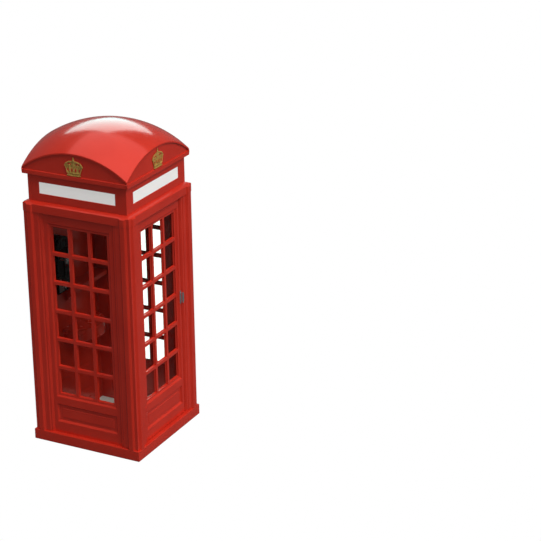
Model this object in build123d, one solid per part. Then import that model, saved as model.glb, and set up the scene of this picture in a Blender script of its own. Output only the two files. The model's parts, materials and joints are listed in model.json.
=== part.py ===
"""Street telephone booth: cast-iron kiosk with a sail-dome roof, glazed walls, a side-hung door
and a coin telephone inside.

Frame: origin at the centre of the footprint on the ground, +Z up, door on the -Y side and
the back wall on the +Y side. All sizes are millimetres.

The walls are described by "planes": the distance of a surface from the booth's vertical axis.
Each wall is modelled as the -Y wall and turned into its place.
"""
import os
from math import cos, radians, sin, sqrt

from build123d import *

# ---------------------------------------------------------------- driving dimensions
total_height = 2820.0
base_half = 530.0
plinth_height = 94.0
plinth_inner_half = 440.0
slab_height = 12.0

# planes of the stepped mouldings, from the outermost inwards
pilaster_plane = 530.0
bead_plane = 514.0
outer_band_plane = 513.0
inner_band_plane = 506.0
frame_plane = 491.0
light_plane = 477.0
wall_inner_plane = 445.0
post_inner_plane = 435.0

# distances of the moulding edges from the centreline of a face
pilaster_outer_edge = 473.5
pilaster_inner_edge = 432.5
outer_band_edge = 373.0
frame_half = 336.0
light_frame_half = 302.0
opening_half = 271.0
stop_half = 322.0
post_wall = 14.0

# levels of the wall
bottom_rail_top = 196.0
lower_panel_top = 366.0
light_frame_bottom = 434.0
light_frame_top = 2029.0
wall_top = 2116.0
opening_inset = light_frame_half - opening_half
glass_columns = 3
glass_rows = 6
bar_front_width = 30.0
bar_back_width = 14.0
bar_front_depth = 19.0
glass_thickness = 5.0

# door leaf
leaf_half = 332.0
leaf_bottom = 99.0
leaf_top = 2112.0
leaf_inner_plane = 446.0
hinge_x = -340.0
hinge_plane = 503.0
hinge_levels = (330.0, 1100.0, 1880.0)
hinge_height = 100.0
knuckle_radius = 5.0
pin_radius = 2.5
pin_clearance = 0.06
hinge_gap = 0.5
hinge_plate = 3.0
door_plate_edge = -306.0
post_plate_left, post_plate_right = -366.0, -351.0
handle_x = 317.0
handle_level = 1203.0
handle_height = 124.0
handle_plate_width, handle_plate_thickness = 26.0, 3.0
grip_length, grip_width, grip_thickness = 104.0, 30.0, 12.0
grip_gap = 18.0
grip_edge_radius = 5.0
pillar_offset, pillar_radius, pillar_overlap = 36.0, 8.0, 2.0
screw_offset, screw_radius, screw_height = 54.0, 4.0, 1.5

# entablature and roof
lip_half = 533.0
lip_top = 2184.0
frieze_inset = 11.0
frieze_corner_cut = 16.0
sign_box_bottom = 2207.0
sign_box_half = 478.0
sign_box_wall = 12.0
sign_box_top = 2444.0
sign_half_width = 371.0
sign_bottom = 2272.0
sign_top = 2378.0
sign_recess = 4.0
sign_thickness = 8.0
eave_half = 509.0
eave_band_top = 2480.0
dome_radius = 974.4
roof_shell = 10.0
tympanum_recess = 12.0
arch_rim = 14.0
crown_bottom = 2483.0
crown_thickness = 10.0
roof_flange = 12.0
roof_crown_wall = 14.0

# floor, ceiling and lamp
anchor_spacing = 760.0
anchor_hole_radius = 11.0
cable_hole_radius = 25.0
cable_hole_y = 300.0
ceiling_half = 466.0
ceiling_thickness = 6.0
lamp_hole_radius = 110.0

# telephone
board_left, board_right = -376.0, -116.0
board_bottom, board_top = 1250.0, 1880.0
board_thickness = 12.0
case_left, case_right = -350.0, -140.0
case_bottom, case_shoulder = 1325.0, 1718.0
case_front = 318.0
face_plate_thickness = 4.0
plate_bottom, plate_top = 1470.0, 1720.0
running_clearance = 0.06
dial_radius = 40.0
dial_x, dial_level = -213.0, 1590.0
spindle_hole_radius = 6.0
button_hole_radius = 11.0
button_level = 1502.0
button_travel = 6.0
button_centres = {"a": -243.0, "b": -183.0}
coin_slot_x, coin_slot_bottom, coin_slot_top = -180.0, 1655.0, 1693.0
cup_left, cup_right = -245.0, -195.0
cup_bottom, cup_top = 1350.0, 1402.0
cup_depth = 54.0
flap_pin_radius = 1.5
hook_x, hook_level, hook_pivot_y = -317.0, 1650.0, 345.0
hook_pin_radius = 3.0
cap_radius = 27.0
mouthpiece_drop = 205.0

# shelves
shelf_left, shelf_right = -110.0, 425.0
shelf_top, shelf_thickness, shelf_front = 1286.0, 40.0, 315.0
parcel_shelf_x, parcel_shelf_radius = 110.0, 240.0
parcel_shelf_top, parcel_shelf_height, parcel_shelf_skin = 900.0, 110.0, 6.0


# ---------------------------------------------------------------- helpers
def block(x_range, y_range, z_range):
    """Rectangular solid between two values on each axis."""
    size = [high - low for low, high in (x_range, y_range, z_range)]
    centre = [(high + low) / 2 for low, high in (x_range, y_range, z_range)]
    return Pos(*centre) * Box(*size)


def square_block(half, z_range):
    """Square solid centred on the booth's axis."""
    return block((-half, half), (-half, half), z_range)


def rod(start, direction, radius, length):
    """Cylinder that starts at a point and runs along a direction."""
    plane = Plane(origin=start, z_dir=direction)
    return extrude(plane * Circle(radius), length)


def face_rectangle(half_width, z_range, plane):
    """Rectangle standing in the -Y wall at a distance from the booth's axis."""
    centre_z = (z_range[0] + z_range[1]) / 2
    sketch_plane = Plane(origin=(0, -plane, centre_z), x_dir=(1, 0, 0), z_dir=(0, -1, 0))
    return sketch_plane * Rectangle(2 * half_width, z_range[1] - z_range[0])


def sloped_recess(half_width, z_range, outer_plane, depth):
    """Recess with 45 degree sides, cut inwards from a wall plane."""
    mouth = face_rectangle(half_width, z_range, outer_plane)
    floor = face_rectangle(half_width - depth, (z_range[0] + depth, z_range[1] - depth), outer_plane - depth)
    return loft([mouth.faces()[0], floor.faces()[0]], ruled=True)


def turned(shape, degrees):
    """Turn a -Y wall part about the booth's axis."""
    return Rot(0, 0, degrees) * shape


def on_four_sides(shape):
    """The same piece on each of the four walls."""
    return [turned(shape, 90 * side) for side in range(4)]


def save(node, *solids):
    """Write one node as one STEP file; a node of several solids stays several solids."""
    pieces = []
    for solid in solids:
        pieces.extend(solid.solids())
    export_step(Compound(label=node, children=pieces), f"parts/{node}.step")


WALL_TURNS = {"left": -90, "right": 90, "back": 180}


# ---------------------------------------------------------------- base
def plinth():
    """Square cast ring that the walls stand on."""
    return square_block(base_half, (0, plinth_height)) - square_block(plinth_inner_half, (0, plinth_height))


def floor_slab():
    """Concrete slab inside the plinth, with holding-down holes and the cable entry."""
    slab = square_block(plinth_inner_half, (0, slab_height))
    offset = anchor_spacing / 2
    for x in (-offset, offset):
        for y in (-offset, offset):
            slab -= rod((x, y, 0), (0, 0, 1), anchor_hole_radius, slab_height)
    slab -= rod((0, cable_hole_y, 0), (0, 0, 1), cable_hole_radius, slab_height)
    return slab


# ---------------------------------------------------------------- walls
def corner_outline():
    """Plan of one post: the stepped moulding of a wall, mirrored about the booth's diagonal."""
    band_step = pilaster_plane - outer_band_plane
    inner_step = outer_band_plane - inner_band_plane
    frame_step = inner_band_plane - frame_plane
    one_wall = [
        (stop_half, post_inner_plane),
        (stop_half, wall_inner_plane - 1),
        (frame_half, wall_inner_plane - 1),
        (frame_half, frame_plane),
        (frame_half + frame_step, inner_band_plane),
        (outer_band_edge - inner_step, inner_band_plane),
        (outer_band_edge, outer_band_plane),
        (pilaster_inner_edge - band_step, outer_band_plane),
        (pilaster_inner_edge, pilaster_plane),
        (pilaster_outer_edge, pilaster_plane),
        (pilaster_outer_edge + pilaster_plane - bead_plane, bead_plane),
    ]
    other_wall = [(plane, along) for along, plane in reversed(one_wall)]
    return one_wall + [(bead_plane, bead_plane)] + other_wall + [(post_inner_plane, post_inner_plane)]


def corner_post():
    """Front right post; the other three are the same casting turned."""
    outline = [(x, -y) for x, y in corner_outline()]
    outline_face = make_face(Polyline(*outline, close=True))
    post = Pos(0, 0, plinth_height) * extrude(outline_face, wall_top - plinth_height, dir=(0, 0, 1))
    near, far = (post_inner_plane + post_wall, frame_half + post_wall), (500.0, 497.0)
    levels = (plinth_height, wall_top)
    post -= block((near[1], far[0]), (-far[1], -near[0]), levels)
    post -= block((near[0], far[1]), (-far[0], -near[1]), levels)
    return post


def raised_panel():
    """Lower panel with a sloped margin and a slightly raised field."""
    margin = 15.0
    field_inset = 40.0
    field_rise = 4.0
    panel = block((-light_frame_half, light_frame_half), (-frame_plane, -wall_inner_plane - 1),
                  (bottom_rail_top, lower_panel_top))
    panel -= sloped_recess(light_frame_half, (bottom_rail_top, lower_panel_top), frame_plane, margin)
    field_half = light_frame_half - field_inset
    field_range = (bottom_rail_top + field_inset, lower_panel_top - field_inset)
    low = face_rectangle(field_half, field_range, frame_plane - margin)
    high_range = (field_range[0] + field_rise, field_range[1] - field_rise)
    high = face_rectangle(field_half - field_rise, high_range, frame_plane - margin + field_rise)
    field = loft([low.faces()[0], high.faces()[0]], ruled=True)
    return panel + field


def wall_frame():
    """Cast side wall: stiles, rails and the lower panel, open for its window."""
    wall = block((-frame_half, frame_half), (-frame_plane, -wall_inner_plane), (plinth_height, wall_top))
    wall -= block((-light_frame_half, light_frame_half), (-base_half, 0), (light_frame_bottom, light_frame_top))
    wall -= block((-light_frame_half, light_frame_half), (-base_half, 0), (bottom_rail_top, lower_panel_top))
    return wall + raised_panel()


def opening_range():
    """Bottom and top of the glazed opening."""
    return light_frame_bottom + opening_inset, light_frame_top - opening_inset


def bar_centres():
    """Centres of the upright bars and of the level bars."""
    low, high = opening_range()
    column_pitch = (2 * opening_half + bar_front_width) / glass_columns
    row_pitch = (high - low + bar_front_width) / glass_rows
    first_x = -opening_half - bar_front_width / 2
    first_z = low - bar_front_width / 2
    uprights = [first_x + column_pitch * i for i in range(1, glass_columns)]
    levels = [first_z + row_pitch * i for i in range(1, glass_rows)]
    return uprights, levels


def window_light():
    """Cast window with its margin moulding and glazing bars; each bar is T-shaped in section."""
    low, high = opening_range()
    slope = frame_plane - light_plane
    light = block((-light_frame_half, light_frame_half), (-frame_plane, -leaf_inner_plane),
                  (light_frame_bottom, light_frame_top))
    light -= sloped_recess(light_frame_half, (light_frame_bottom, light_frame_top), frame_plane, slope)
    light -= block((-opening_half, opening_half), (-base_half, 0), (low, high))
    front = (-light_plane, -light_plane + bar_front_depth)
    web = (-light_plane + bar_front_depth, -leaf_inner_plane)
    uprights, levels = bar_centres()
    for x in uprights:
        light += block((x - bar_front_width / 2, x + bar_front_width / 2), front, (low, high))
        light += block((x - bar_back_width / 2, x + bar_back_width / 2), web, (low, high))
    for z in levels:
        light += block((-opening_half, opening_half), front, (z - bar_front_width / 2, z + bar_front_width / 2))
        light += block((-opening_half, opening_half), web, (z - bar_back_width / 2, z + bar_back_width / 2))
    return light


def window_panes():
    """Panes bedded behind the front of the bars, each its own sheet of glass."""
    low, high = opening_range()
    uprights, levels = bar_centres()
    half_web = bar_back_width / 2
    x_edges = [-opening_half] + [edge for x in uprights for edge in (x - half_web, x + half_web)] + [opening_half]
    z_edges = [low] + [edge for z in levels for edge in (z - half_web, z + half_web)] + [high]
    glass_front = -light_plane + bar_front_depth
    panes = []
    for left, right in zip(x_edges[::2], x_edges[1::2]):
        for bottom, top in zip(z_edges[::2], z_edges[1::2]):
            panes.append(block((left, right), (glass_front, glass_front + glass_thickness), (bottom, top)))
    return panes


def back_panel():
    """Plain panel that closes the back wall, with the same sloped margin as a window."""
    slope = frame_plane - light_plane
    panel = block((-light_frame_half, light_frame_half), (-frame_plane, -wall_inner_plane),
                  (light_frame_bottom, light_frame_top))
    panel -= sloped_recess(light_frame_half, (light_frame_bottom, light_frame_top), frame_plane, slope)
    return panel


# ---------------------------------------------------------------- door
def door_piece(x_range, z_range):
    """Straight member of the door leaf."""
    return block(x_range, (-frame_plane, -leaf_inner_plane), z_range)


def upright_slot(plane, length, width):
    """Round-ended slot standing on the closing stile, at a distance from the booth's axis."""
    sketch_plane = Plane(origin=(handle_x, -plane, handle_level), x_dir=(0, 0, 1), z_dir=(0, -1, 0))
    return sketch_plane * SlotOverall(length, width)


def handle_plate():
    """Rounded back plate of the pull handle, on the closing stile."""
    return extrude(upright_slot(frame_plane, handle_height, handle_plate_width), handle_plate_thickness)


def handle_grip():
    """Pull grip: a broad bar on two short pillars."""
    plate_front = frame_plane + handle_plate_thickness
    grip = extrude(upright_slot(plate_front + grip_gap, grip_length, grip_width), grip_thickness)
    grip = fillet(grip.edges().group_by(Axis.Y)[0], grip_edge_radius)
    for sign in (-1, 1):
        pillar_start = (handle_x, -plate_front, handle_level + sign * pillar_offset)
        grip += rod(pillar_start, (0, -1, 0), pillar_radius, grip_gap + pillar_overlap)
    return grip


def handle_screws():
    """Two raised-head screws through the ends of the back plate."""
    screws = []
    for sign in (-1, 1):
        start = (handle_x, -frame_plane - handle_plate_thickness, handle_level + sign * screw_offset)
        screws.append(rod(start, (0, -1, 0), screw_radius, screw_height))
    return screws


def hinge_door_leaves():
    """Door halves of the hinges: a plate on the stile, a short arm and the upper knuckle."""
    plate_front = frame_plane + hinge_plate
    arm_front = inner_band_plane
    arm_back = arm_front - 2 * hinge_plate
    arm_side = -leaf_half + 1
    leaves = []
    for level in hinge_levels:
        middle = level + hinge_height / 2
        plate = block((-leaf_half, door_plate_edge), (-plate_front, -frame_plane), (level, level + hinge_height))
        upper = (middle + hinge_gap, level + hinge_height)
        arm = block((arm_side - 4, arm_side), (-arm_front, -frame_plane), upper)
        arm += block((hinge_x + 1, arm_side), (-arm_front, -arm_back), upper)
        knuckle = rod((hinge_x, -hinge_plane, upper[0]), (0, 0, 1), knuckle_radius, upper[1] - upper[0])
        bore = rod((hinge_x, -hinge_plane, level), (0, 0, 1), pin_radius + pin_clearance, 2 * hinge_height)
        leaves.append(plate + arm + knuckle - bore)
    return leaves


def hinge_post_leaves():
    """Post halves of the hinges: a plate on the moulding, the lower knuckle and its fixed pin."""
    plate_front = inner_band_plane + hinge_plate
    depth = (-plate_front, -inner_band_plane)
    leaves = []
    for level in hinge_levels:
        middle = level + hinge_height / 2
        plate = block((post_plate_left, post_plate_right), depth, (level, level + hinge_height))
        arm = block((post_plate_right - 1, hinge_x), depth, (level, middle))
        knuckle = rod((hinge_x, -hinge_plane, level), (0, 0, 1), knuckle_radius, hinge_height / 2)
        pin = rod((hinge_x, -hinge_plane, level), (0, 0, 1), pin_radius, hinge_height + 2)
        leaves.append(plate + arm + knuckle + pin)
    return leaves


# ---------------------------------------------------------------- entablature and roof
def frieze_outline():
    """Plan of the frieze on one eighth of the booth: proud over the pilaster, cut back at the corner."""
    return [
        (0, lip_half - frieze_inset),
        (pilaster_inner_edge - frieze_inset, lip_half - frieze_inset),
        (pilaster_inner_edge, lip_half),
        (pilaster_outer_edge, lip_half),
        (pilaster_outer_edge + frieze_corner_cut, lip_half - frieze_corner_cut),
    ]


def frieze_block(levels):
    """Solid block with the frieze's plan between two levels."""
    one_wall = frieze_outline()
    other_wall = [(plane, along) for along, plane in reversed(one_wall)]
    corner = lip_half - frieze_corner_cut
    quarter_face = make_face(Polyline(*one_wall, (corner, corner), *other_wall, (0, 0), close=True))
    quarter = Pos(0, 0, levels[0]) * extrude(quarter_face, levels[1] - levels[0], dir=(0, 0, 1))
    solid = quarter
    for turn in (90, 180, 270):
        solid += turned(quarter, turn)
    return solid


def cornice():
    """Frieze and sloping weathering cast as one ring round the heads of the posts."""
    foot = Pos(0, 0, lip_top) * Rectangle(2 * lip_half, 2 * lip_half)
    head = Pos(0, 0, sign_box_bottom) * Rectangle(2 * sign_box_half, 2 * sign_box_half)
    weathering = loft([foot.faces()[0], head.faces()[0]], ruled=True)
    envelope = square_block(lip_half, (wall_top, lip_top)) + weathering
    hollow = square_block(ceiling_half, (wall_top, sign_box_bottom))
    return (envelope & frieze_block((wall_top, sign_box_bottom))) - hollow


def sign_box():
    """Hollow box above the cornice, with a window for a sign on each side."""
    inner_half = sign_box_half - sign_box_wall
    box = square_block(sign_box_half, (sign_box_bottom, sign_box_top))
    box -= square_block(inner_half, (sign_box_bottom, sign_box_top))
    window = block((-sign_half_width, sign_half_width), (-base_half, 0), (sign_bottom, sign_top))
    for cut in on_four_sides(window):
        box -= cut
    return box


def sign_panel():
    """Blank opal sign, set a little behind the face of the box."""
    front = -sign_box_half + sign_recess
    return block((-sign_half_width, sign_half_width), (front, front + sign_thickness), (sign_bottom, sign_top))


def sail_dome(half, radius, z_bottom):
    """Square block capped by a sphere centred on the booth's axis."""
    sphere_centre = total_height - dome_radius
    return square_block(half, (z_bottom, total_height + 50)) & (Pos(0, 0, sphere_centre) * Sphere(radius))


def roof_dome():
    """Hollow cast roof: sail dome, arched rims and recessed tympana over a flat eave."""
    sphere_centre = total_height - dome_radius
    shell = sail_dome(eave_half, dome_radius, sign_box_top)
    tympanum_plane = eave_half - tympanum_recess
    cavity = sail_dome(tympanum_plane - roof_shell, dome_radius - roof_crown_wall,
                       sign_box_top + roof_flange)
    shell -= cavity
    shell -= square_block(plinth_inner_half, (sign_box_top, sign_box_top + roof_flange + 1))
    face_arc = sqrt(dome_radius ** 2 - eave_half ** 2)
    arc_plane = Plane(origin=(0, -eave_half, sphere_centre), x_dir=(1, 0, 0), z_dir=(0, 1, 0))
    disc = extrude(arc_plane * Circle(face_arc - arch_rim), tympanum_recess)
    recess = disc & block((-eave_half, eave_half), (-base_half, 0), (eave_band_top, total_height))
    for cut in on_four_sides(recess):
        shell -= cut
    return shell


def crown():
    """Plain crown ornament of a band, a flaring pierced body, two arches and a knob."""
    band_half, band_height = 64.0, 26.0
    body_half, body_top = 84.0, 92.0
    arch_width, arch_rise = 10.0, 40.0
    face = eave_half - tympanum_recess
    sketch_plane = Plane(origin=(0, -face, crown_bottom), x_dir=(1, 0, 0), z_dir=(0, -1, 0))
    shape = Pos(0, band_height / 2) * Rectangle(2 * band_half, band_height)
    shape += make_face(Polyline((-band_half, band_height), (band_half, band_height), (body_half, body_top),
                                (-body_half, body_top), close=True))
    for x in (-45, -15, 15, 45):
        shape -= Pos(x * 1.12, 60) * Ellipse(9, 20)
    arch = Ellipse(body_half, arch_rise) - Ellipse(body_half - arch_width, arch_rise - arch_width)
    shape += Pos(0, body_top - 2) * (arch & (Pos(0, arch_rise) * Rectangle(4 * body_half, 2 * arch_rise)))
    shape += Pos(0, body_top + arch_rise / 2) * Rectangle(arch_width, arch_rise)
    shape += Pos(0, 136) * Circle(11)
    shape += make_face(Polyline((-7, 142), (7, 142), (1, 166), (-1, 166), close=True))
    return extrude(sketch_plane * shape, crown_thickness)


# ---------------------------------------------------------------- ceiling and lamp
def ceiling():
    """Flat ceiling plate on the heads of the posts, with a round lamp hole."""
    plate = square_block(ceiling_half, (wall_top, wall_top + ceiling_thickness))
    return plate - rod((0, 0, wall_top), (0, 0, 1), lamp_hole_radius, ceiling_thickness)


def lamp_diffuser():
    """Shallow glass bowl that fills the lamp hole."""
    rim = rod((0, 0, wall_top + ceiling_thickness), (0, 0, 1), lamp_hole_radius + 8, 5)
    rim -= rod((0, 0, wall_top + ceiling_thickness), (0, 0, 1), lamp_hole_radius - 6, 5)
    bowl_radius = 170.0
    bowl_centre = wall_top + sqrt(bowl_radius ** 2 - lamp_hole_radius ** 2) + ceiling_thickness
    bowl = Pos(0, 0, bowl_centre) * Sphere(bowl_radius) - Pos(0, 0, bowl_centre) * Sphere(bowl_radius - 5)
    bowl &= rod((0, 0, wall_top - 60), (0, 0, 1), lamp_hole_radius - 0.5, 60 + ceiling_thickness)
    return rim + bowl


def lamp_holder():
    """Socket on a bridge bar that rests on the ceiling plate."""
    bridge = block((-15, 15), (-200, 200), (2212, 2218))
    for y in (-200, 194):
        bridge += block((-15, 15), (y, y + 6), (wall_top + ceiling_thickness, 2218))
        bridge += block((-15, 15), (y - 8, y + 14), (wall_top + ceiling_thickness, wall_top + ceiling_thickness + 3))
    return bridge + rod((0, 0, 2212), (0, 0, -1), 17, 32)


def lamp_bulb():
    """Pear-shaped bulb hanging from the socket."""
    neck = rod((0, 0, 2180), (0, 0, -1), 13, 12)
    return neck + Pos(0, 0, 2148) * Sphere(26)


# ---------------------------------------------------------------- telephone
def telephone_board():
    """Backboard between the posts, with the batten that spaces it off the back wall."""
    board = block((board_left, board_right), (post_inner_plane - board_thickness, post_inner_plane),
                  (board_bottom, board_top))
    batten = block((-stop_half + 4, board_right), (post_inner_plane, wall_inner_plane), (board_bottom, board_top))
    return board + batten


def case_bore(x, z, radius, depth):
    """Round hole in the front of the telephone case."""
    return rod((x, case_front, z), (0, 1, 0), radius, depth)


def telephone_case():
    """Case with a round top, a cup for returned coins and chambers for the moving pieces."""
    back = post_inner_plane - board_thickness
    middle_x = (case_left + case_right) / 2
    case = block((case_left, case_right), (case_front, back), (case_bottom, case_shoulder))
    case += rod((middle_x, back, case_shoulder), (0, -1, 0), (case_right - case_left) / 2, back - case_front)
    case -= block((cup_left, cup_right), (case_front, case_front + cup_depth), (cup_bottom, cup_top))
    case -= rod((cup_left - 6, case_front + 3, cup_top - 4), (1, 0, 0), flap_pin_radius + running_clearance,
                cup_right - cup_left + 12)
    case -= case_bore(dial_x, dial_level, spindle_hole_radius, 20)
    for x in button_centres.values():
        case -= case_bore(x, button_level, button_hole_radius, 16)
    case -= block((hook_x - 10, hook_x + 10), (case_front, hook_pivot_y + 18), (hook_level - 18, hook_level + 24))
    case -= rod((hook_x - 18, hook_pivot_y, hook_level), (1, 0, 0), hook_pin_radius, 36)
    return case


def face_plate():
    """Metal plate over the front, with holes for the dial, the buttons, the hook and the coins."""
    front = case_front - face_plate_thickness
    through = (front, case_front)
    plate = block((case_left + 8, case_right - 8), through, (plate_bottom, plate_top))
    plate -= block((coin_slot_x - 2, coin_slot_x + 2), through, (coin_slot_bottom, coin_slot_top))
    plate -= rod((dial_x, front, dial_level), (0, 1, 0), spindle_hole_radius, face_plate_thickness)
    for x in button_centres.values():
        plate -= rod((x, front, button_level), (0, 1, 0), button_hole_radius, face_plate_thickness)
    plate -= block((hook_x - 10, hook_x + 10), through, (hook_level - 18, hook_level + 24))
    return plate


def coin_entry():
    """Raised block round the coin slot."""
    front = case_front - face_plate_thickness
    entry = block((coin_slot_x - 14, coin_slot_x + 14), (front - 10, front),
                  (coin_slot_bottom - 8, coin_slot_top + 8))
    return entry - block((coin_slot_x - 2, coin_slot_x + 2), (front - 10, front),
                         (coin_slot_bottom, coin_slot_top))


def dial():
    """Finger dial with ten holes, a hub and a spindle that turns in the case."""
    back = case_front - face_plate_thickness - 0.5
    disc = rod((dial_x, back, dial_level), (0, -1, 0), dial_radius, 7)
    for step in range(10):
        angle = radians(60 + 30 * step)
        x = dial_x + 29 * cos(angle)
        z = dial_level + 29 * sin(angle)
        disc -= rod((x, back, z), (0, -1, 0), 6.5, 7)
    disc += rod((dial_x, back - 7, dial_level), (0, -1, 0), 15, 3)
    spindle_radius = spindle_hole_radius - running_clearance
    return disc + rod((dial_x, back, dial_level), (0, 1, 0), spindle_radius, 22)


def finger_stop():
    """Bent stop that reaches over the rim of the dial from the face plate."""
    front = case_front - face_plate_thickness
    left = dial_x + dial_radius + 2
    foot = block((left, left + 8), (front - 12, front), (dial_level - 30, dial_level - 22))
    return foot + block((left - 12, left + 8), (front - 14.5, front - 12), (dial_level - 30, dial_level - 22))


def push_button(x):
    """Plain round push button, guided by its hole in the case."""
    front = case_front - face_plate_thickness - 8
    stem_radius = button_hole_radius - running_clearance
    return rod((x, front, button_level), (0, 1, 0), stem_radius, 8 + face_plate_thickness + 8)


def return_flap():
    """Flap over the coin cup, hanging on its own pin."""
    pin_y = case_front + 3
    pin_z = cup_top - 4
    flap = block((cup_left + 1, cup_right - 1), (pin_y - 1.5, pin_y + 1.5), (cup_bottom + 1, pin_z))
    return flap + rod((cup_left - 5, pin_y, pin_z), (1, 0, 0), flap_pin_radius, cup_right - cup_left + 10)


def hook_pin():
    """Pivot pin of the switch hook, held in the case."""
    return rod((hook_x - 18, hook_pivot_y, hook_level), (1, 0, 0), hook_pin_radius, 36)


def switch_hook():
    """Lever with a hub on its pin and a fork outside the case that carries the handset."""
    lever = block((hook_x - 7, hook_x + 7), (296, hook_pivot_y), (hook_level - 6, hook_level))
    lever += rod((hook_x - 7, hook_pivot_y, hook_level), (1, 0, 0), 10, 14)
    lever += block((hook_x - 19, hook_x + 19), (296, 301), (hook_level - 6, hook_level))
    for sign in (-1, 1):
        inner, outer = sorted((hook_x + sign * 13.5, hook_x + sign * 19))
        lever += block((inner, outer), (258, 301), (hook_level - 6, hook_level))
    return lever - rod((hook_x - 7, hook_pivot_y, hook_level), (1, 0, 0), hook_pin_radius + running_clearance, 14)


def handset():
    """Handset hanging by its earpiece on the fork."""
    ear_level = hook_level + cap_radius + 0.3
    mouth_level = ear_level - mouthpiece_drop
    grip = block((hook_x - 12, hook_x + 12), (258, 276), (mouth_level, ear_level))
    for level in (ear_level, mouth_level):
        grip += rod((hook_x, 294, level), (0, -1, 0), cap_radius, 42)
    front_rims = grip.edges().filter_by(GeomType.CIRCLE).group_by(Axis.Y)[0]
    return fillet(front_rims, 3)


def cash_cover():
    """Cover plate over the cash box in the lower part of the case."""
    return block((case_left + 14, cup_left - 18), (case_front - 4, case_front), (case_bottom + 12, plate_bottom - 20))


def cash_lock():
    """Round lock barrel in the cash cover."""
    x = (case_left + 14 + cup_left - 18) / 2
    return rod((x, case_front - 4, 1395), (0, -1, 0), 10, 5)


def cord_gland():
    """Threaded bush under the case where the handset lead leaves."""
    gland = rod((hook_x, 360, case_bottom), (0, 0, -1), 9, 14)
    return gland - rod((hook_x, 360, case_bottom), (0, 0, -1), 3.5, 14)


# ---------------------------------------------------------------- shelves
def shelf():
    """Directory shelf along the back wall, with its batten between the posts."""
    levels = (shelf_top - shelf_thickness, shelf_top)
    board = block((shelf_left, shelf_right), (shelf_front, post_inner_plane), levels)
    return board + block((shelf_left, stop_half - 4), (post_inner_plane, wall_inner_plane), levels)


def shelf_brackets():
    """Two triangular brackets under the shelf."""
    top = shelf_top - shelf_thickness
    brackets = []
    for x in (-60.0, 280.0):
        profile = Polyline((wall_inner_plane, top), (shelf_front + 15, top), (wall_inner_plane, top - 110), close=True)
        side = Plane(origin=(x, 0, 0), x_dir=(0, 1, 0), z_dir=(1, 0, 0)) * make_face(profile)
        brackets.append(extrude(side, 8))
    return brackets


def half_drum(radius, z_range):
    """Half cylinder standing against the back wall."""
    drum = rod((parcel_shelf_x, wall_inner_plane, z_range[0]), (0, 0, 1), radius, z_range[1] - z_range[0])
    return drum & block((-base_half, base_half), (0, wall_inner_plane), z_range)


def parcel_shelf():
    """Half-round parcel shelf with a deep curved apron, open underneath."""
    bottom = parcel_shelf_top - parcel_shelf_height
    shell = half_drum(parcel_shelf_radius, (bottom, parcel_shelf_top))
    cavity = half_drum(parcel_shelf_radius - parcel_shelf_skin, (bottom, parcel_shelf_top - parcel_shelf_skin))
    shell -= cavity
    notch = block((stop_half - 1, base_half), (post_inner_plane - 1, wall_inner_plane), (bottom, parcel_shelf_top))
    return shell - notch


# ---------------------------------------------------------------- writing the nodes
def save_structure():
    """Base, posts, walls, entablature and roof."""
    save("plinth", plinth())
    save("floor_slab", floor_slab())
    post = corner_post()
    for name, turn in {"front_right": 0, "back_right": 90, "back_left": 180, "front_left": 270}.items():
        save(f"post_{name}", turned(post, turn))
    frame = wall_frame()
    for side, turn in WALL_TURNS.items():
        save(f"{side}_wall_frame", turned(frame, turn))
    save("back_panel", turned(back_panel(), WALL_TURNS["back"]))
    save("cornice", cornice())
    save("sign_box", sign_box())
    save("roof_dome", roof_dome())
    for side, turn in {"front": 0, **WALL_TURNS}.items():
        save(f"{side}_sign", turned(sign_panel(), turn))
        save(f"{side}_crown", turned(crown(), turn))
    save("ceiling", ceiling())
    save("lamp_diffuser", lamp_diffuser())
    save("lamp_holder", lamp_holder())
    save("lamp_bulb", lamp_bulb())


def save_windows():
    """Window castings and their glass, for the side walls and the door."""
    light = window_light()
    panes = window_panes()
    for side in ("left", "right"):
        turn = WALL_TURNS[side]
        save(f"{side}_window", turned(light, turn))
        save(f"{side}_glass", *[turned(pane, turn) for pane in panes])
    save("door_window", light)
    save("door_glass", *panes)


def save_door():
    """Stiles, rails, panel, handle and hinges of the door."""
    save("door_hinge_stile", door_piece((-leaf_half, -light_frame_half), (leaf_bottom, leaf_top)))
    save("door_lock_stile", door_piece((light_frame_half, leaf_half), (leaf_bottom, leaf_top)))
    between = (-light_frame_half, light_frame_half)
    save("door_bottom_rail", door_piece(between, (leaf_bottom, bottom_rail_top)))
    save("door_mid_rail", door_piece(between, (lower_panel_top, light_frame_bottom)))
    save("door_top_rail", door_piece(between, (light_frame_top, leaf_top)))
    save("door_lower_panel", raised_panel())
    save("handle_plate", handle_plate())
    save("handle_grip", handle_grip())
    save("handle_screws", *handle_screws())
    save("hinge_door_leaves", *hinge_door_leaves())
    save("hinge_post_leaves", *hinge_post_leaves())


def save_fittings():
    """Telephone and shelves inside the booth."""
    save("telephone_board", telephone_board())
    save("telephone_case", telephone_case())
    save("face_plate", face_plate())
    save("coin_entry", coin_entry())
    save("dial", dial())
    save("finger_stop", finger_stop())
    for name, x in button_centres.items():
        save(f"button_{name}", push_button(x))
    save("return_flap", return_flap())
    save("hook_pin", hook_pin())
    save("switch_hook", switch_hook())
    save("handset", handset())
    save("cash_cover", cash_cover())
    save("cash_lock", cash_lock())
    save("cord_gland", cord_gland())
    save("shelf", shelf())
    save("shelf_brackets", *shelf_brackets())
    save("parcel_shelf", parcel_shelf())


if __name__ == "__main__":
    os.makedirs("parts", exist_ok=True)
    save_structure()
    save_windows()
    save_door()
    save_fittings()
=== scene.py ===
"""Finished surfaces of the cast-iron street telephone booth.

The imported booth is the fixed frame. Most castings, rails and fittings keep their shape and get eased edges;
the roof, window castings, crown ornaments, signs, putty, handle and handset are new surfaces worked out here.
Everything is in metres in the booth's own frame: +Z up, door on the -Y side, origin on the ground under the
booth's axis.
"""
from __future__ import annotations

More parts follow.
